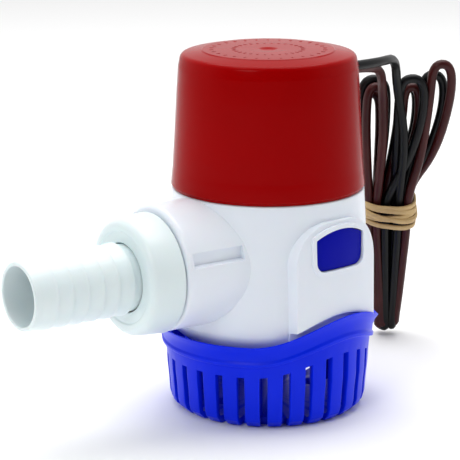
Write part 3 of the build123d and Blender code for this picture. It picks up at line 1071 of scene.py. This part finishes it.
@dataclass
class Strainer:
    """The slotted base with its wavy, flared rim."""

    slots: int = 28
    per_slot: int = 12
    open_columns: tuple[int, ...] = (0, 1, 2, 3)
    slot_low: float = 22.0
    slot_top: float = 14.8
    screw_spacing: float = 30.0

    def _shell(self) -> Piece:
        """The bowl before the wave and the slots."""
        outside = rounded([
            (2.0, 0.0, 0), (self.slot_low, 0.0, 0), (26.95, 0.0, 4.2), (27.5, 8.0, 0), (27.9, 12.0, 0),
            (28.05, self.slot_top, 0), (28.3, 17.2, 0.3), (28.35, 18.0, 0), (29.3, 18.15, 0.3),
            (29.45, 19.0, 0.3), (29.05, 19.6, 0.4), (29.2, 21.2, 0), (29.75, 22.6, 0), (30.75, 24.0, 0.12),
            (30.35, 24.1, 0.1)], 3)
        inside = rounded([
            (30.35, 24.1, 0), (29.5, 23.2, 0), (28.65, 22.4, 0.4), (28.45, 20.6, 0.3), (26.3, 19.6, 0.4),
            (25.9, self.slot_top, 0), (25.9, 10.0, 0), (25.7, 2.3, 1.2), (self.slot_low, 2.2, 0),
            (2.0, 2.2, 0)], 2)
        return turned("strainer", outside + inside[1:], self.slots * self.per_slot)

    def _in_slot(self, face: bmesh.types.BMFace) -> bool:
        """Whether a face lies where a slot is."""
        middle = face.calc_center_median()
        off = abs(math.degrees(math.atan2(middle.x, abs(middle.y))))
        top = WAVE.height(off, self.slot_top) - 0.05
        if middle.xy.length < (self.slot_low - 0.1) * MM or middle.z > top * MM:
            return False
        step = math.degrees(math.atan2(middle.y, middle.x)) * self.slots * self.per_slot / 360
        return math.floor(step + 0.001) % self.per_slot in self.open_columns

    def _cut_slots(self, piece: Piece) -> None:
        """Opens the slots through both walls and the floor's edge, and walls them in."""
        with editing(piece):
            pick(piece, Element.FACE, self._in_slot)
            bpy.ops.mesh.delete(type="FACE")
            for slot in range(self.slots):
                turn = math.radians(360 * (slot + len(self.open_columns) / 2 / self.per_slot) / self.slots)
                spoke = Vector((math.cos(turn), math.sin(turn), 0))
                near = math.radians(3.5)
                pick(piece, Element.EDGE,
                     lambda edge: edge.is_boundary and self._flat(edge).angle(spoke) < near)
                bpy.ops.mesh.bridge_edge_loops()
            bpy.ops.mesh.select_all(action="SELECT")
            bpy.ops.mesh.normals_make_consistent(inside=False)

    @staticmethod
    def _flat(edge: bmesh.types.BMEdge) -> Vector:
        """The direction of an edge's middle from the axis."""
        middle = (edge.verts[0].co + edge.verts[1].co) / 2
        return Vector((middle.x, middle.y, 0))

    def build(self) -> Piece:
        """Makes the strainer.

        Returns:
            The piece.
        """
        piece = self._shell()
        WAVE.lift(piece, self.slot_top - 0.3)
        self._cut_slots(piece)
        modify(piece, "BEVEL", width=0.16 * MM, segments=2, limit_method="ANGLE",
               angle_limit=math.radians(48))
        half_slot = len(self.open_columns) / 2 / self.per_slot * 360 / self.slots
        set_down(piece, (0, 0, BUTTON_TURN + 180 / self.slots - half_slot))
        for side in (-1, 1):
            hole = turned("hole", [(2.15, -1.0), (2.15, 1.6), (3.4, 2.9)], 40)
            combine(piece, set_down(hole, move=(side * self.screw_spacing / 2, 0, 0)), Joining.CUT)
        post = rounded([(2.2, 1.9, 0), (1.75, 2.8, 0.4), (1.6, 21.0, 0.3), (1.0, 21.0, 0)])
        posts = [set_down(turned("post", post, 32),
                          move=(19.6 * math.cos(turn), 19.6 * math.sin(turn), 0))
                 for turn in (math.radians(45 + 90 * step) for step in range(4))]
        piece = join("strainer_bowl", [piece, *posts])
        shade(piece, 30)
        complete(piece, BLUE, "housing", "strainer_base")
        return piece


@dataclass
class Discharge:
    """The hose barb and the collar nut that holds it."""

    port: Port = field(default_factory=Port)
    start: float = 50.5
    end: float = 79.9
    rings: int = 6
    crest: float = 9.75
    root: float = 9.1

    def _barb(self) -> Piece:
        """The flanged tube with its row of rings."""
        corners = [(self.port.bore, 33.7, 0), (13.2, 33.7, 0.3), (13.2, 36.0, 0.3), (9.0, 36.0, 0.3),
                   (9.0, self.start - 0.1, 0.2)]
        pitch = (self.end - 2.0 - self.start) / self.rings
        for ring in range(self.rings):
            low, crest = self.start + ring * pitch, self.crest - 0.03 * ring
            corners += [(crest, low, 0.18), (crest, low + 0.8, 0.4), (self.root, low + pitch - 0.05, 0.1)]
        corners += [(self.root, self.end - 1.6, 0.1), (9.0, self.end, 0.5), (self.port.bore, self.end, 0.4),
                    (self.port.bore, self.end - 1, 0)]
        return self.port.on_axis(turned("barb", rounded(corners, 4), 128, hollow=True))

    def _nut(self) -> Piece:
        """The smooth collar."""
        corners = [(9.3, 36.3, 0), (13.5, 36.3, 0.2), (13.5, 39.0, 0.1), (16.3, 39.0, 0.4), (16.0, 43.0, 0),
                   (15.5, 48.6, 2.2), (12.6, 48.6, 0.4), (12.2, 48.3, 0.2), (9.3, 48.3, 0.3), (9.3, 44.0, 0)]
        return self.port.on_axis(turned("nut", rounded(corners, 5), 160, hollow=True))

    def build(self) -> None:
        """Makes both pieces."""
        for shape, name, body, node in ((self._barb(), "barb_tube", "housing", "hose_barb"),
                                        (self._nut(), "collar_nut", "nut", "discharge_nut")):
            shape.name = name
            shade(shape, 30)
            complete(shape, FITTING, body, node)


@dataclass
class Gland:
    """The ribbed rubber plug that the leads leave the cover by."""

    height: float = 91.0

    def build(self) -> None:
        """Makes the plug."""
        outline = rounded([
            (1.0, 20.6, 0), (3.35, 20.6, 0.3), (3.35, 24.6, 0.1), (3.4, 25.0, 0.1), (3.4, 25.6, 0.15),
            (3.1, 25.8, 0.1), (3.1, 26.0, 0.1), (3.4, 26.2, 0.15), (3.3, 27.0, 0.3), (1.0, 27.0, 0)], 3)
        piece = set_down(turned("lead_gland", outline, 48), (0, 90, 0), (0, 0, self.height))
        shade(piece, 40)
        complete(piece, SEAL, "housing", "cable_grommet")


@dataclass
class Inside:
    """The pieces that keep their CAD shape."""

    finishes: dict[str, Finish] = field(default_factory=lambda: {
        "cap_seal": SEAL, "shaft_seal": SEAL, "discharge_gasket": SEAL, "motor_can": CAN_STEEL,
        "magnet_right": FERRITE, "magnet_left": FERRITE, "armature_core": CORE_STEEL, "winding_lower": COILS,
        "winding_upper": COILS, "commutator": COPPER, "motor_shaft": SHAFT_STEEL, "lower_bush": BRONZE,
        "upper_bush": BRONZE, "brush_plate": DARK_PLASTIC, "brush_right": CARBON, "brush_left": CARBON,
        "impeller": IMPELLER_PLASTIC, "inner_lead_black": BLACK_WIRE, "inner_lead_brown": BROWN_WIRE})

    def dress(self) -> None:
        """Gives each piece its finish."""
        for node, finish in self.finishes.items():
            redress(node, finish)
            log.info("%s keeps its CAD shape", node)


# ---------------------------------------------------------------- the studio


@dataclass
class Studio:
    """A pale floor, soft light from all round but the front, and the camera."""

    eye: Place = (-338.93, -458.81, 192.81)
    yaw: float = -0.0182
    pitch: float = 0.2475
    roll: float = -0.0015
    azimuth: float = -36.4544
    focal_pixels: float = 2140.2
    frame_pixels: float = 460.0
    sensor: float = 36.0

    def camera(self) -> None:
        """Makes the camera and looks through it."""
        spin = Matrix.Rotation(math.radians(self.azimuth), 3, "Z")
        ahead = spin @ Vector((math.sin(self.yaw) * math.cos(self.pitch),
                               math.cos(self.yaw) * math.cos(self.pitch), -math.sin(self.pitch)))
        right = spin @ Vector((math.cos(self.yaw), -math.sin(self.yaw), 0))
        up = right.cross(ahead)
        turn = math.cos(self.roll), math.sin(self.roll)
        side = right * turn[0] + up * turn[1]
        top = up * turn[0] - right * turn[1]
        lens = bpy.data.cameras.new("camera")
        lens.sensor_width = self.sensor
        lens.lens = self.focal_pixels / self.frame_pixels * self.sensor
        lens.clip_start = 0.01
        camera = bpy.data.objects.new("camera", lens)
        bpy.context.scene.collection.objects.link(camera)
        matrix = Matrix((side, top, -ahead)).transposed().to_4x4()
        matrix.translation = Vector(self.eye) * MM
        camera.matrix_world = matrix
        bpy.context.scene.camera = camera

    def _floor(self) -> None:
        """The plain pale floor."""
        clear_selection()
        bpy.ops.mesh.primitive_plane_add(size=6)
        floor = bpy.context.object
        floor.name = "studio_floor"
        paint = Paint("pale_floor")
        paint.set(Base_Color=(0.93, 0.93, 0.93, 1), Roughness=0.9, Specular_IOR_Level=0.1)
        floor.data.materials.append(paint.material)

    def _light(self, name: str, place: Place, aim: Place, size: float, power: float) -> None:
        """A square soft light.

        Args:
            name: Its name.
            place: Where it stands, in metres.
            aim: What it points at, in metres.
            size: Its side in metres.
            power: Its power in watts.
        """
        lamp = bpy.data.lights.new(name, "AREA")
        lamp.size = size
        lamp.energy = power
        light = bpy.data.objects.new(name, lamp)
        light.location = place
        light.rotation_euler = (Vector(aim) - Vector(place)).to_track_quat("-Z", "Y").to_euler()
        bpy.context.scene.collection.objects.link(light)

    def _surroundings(self) -> None:
        """White all round, dimmer in front, as in a light tent with its front open."""
        world = bpy.data.worlds.new("tent")
        world.use_nodes = True
        bpy.context.scene.world = world
        tree = world.node_tree
        tree.nodes.clear()
        where = tree.nodes.new("ShaderNodeTexCoord")
        front = tree.nodes.new("ShaderNodeVectorMath")
        front.operation = "DOT_PRODUCT"
        front.inputs[1].default_value = Vector((*self.eye[:2], 0)).normalized()
        tree.links.new(where.outputs["Generated"], front.inputs[0])
        ramp = tree.nodes.new("ShaderNodeMapRange")
        ramp.interpolation_type = "SMOOTHSTEP"
        for name, value in (("From Min", 0.05), ("From Max", 0.75), ("To Min", 1.1), ("To Max", 0.12)):
            ramp.inputs[name].default_value = value
        tree.links.new(front.outputs["Value"], ramp.inputs["Value"])
        seen = tree.nodes.new("ShaderNodeLightPath")
        tent, backdrop = (tree.nodes.new("ShaderNodeBackground") for _ in range(2))
        tree.links.new(ramp.outputs["Result"], tent.inputs["Strength"])
        backdrop.inputs["Strength"].default_value = 1.0
        mix = tree.nodes.new("ShaderNodeMixShader")
        tree.links.new(seen.outputs["Is Camera Ray"], mix.inputs["Fac"])
        tree.links.new(tent.outputs["Background"], mix.inputs[1])
        tree.links.new(backdrop.outputs["Background"], mix.inputs[2])
        tree.links.new(mix.outputs["Shader"], tree.nodes.new("ShaderNodeOutputWorld").inputs["Surface"])

    def build(self) -> None:
        """Makes the floor and the lights."""
        bpy.context.scene.view_settings.view_transform = "Standard"
        self._floor()
        self._surroundings()
        self._light("top_light", (0.1, 0.15, 0.75), (0, 0, 0.05), 0.7, 5.0)
        self._light("front_fill", (-0.75, -0.35, 0.6), (0, 0, 0.05), 0.35, 2.2)


def main() -> None:
    """Builds the pump, piece by piece, and its studio."""
    logging.basicConfig(level=logging.INFO, format="%(name)s: %(message)s")
    studio = Studio()
    studio.camera()
    Hank().build()
    Cover().build()
    Body().build()
    for side in Side:
        Button().build(side)
    Strainer().build()
    Discharge().build()
    Gland().build()
    Inside().dress()
    studio.build()


if __name__ == "__main__":
    main()
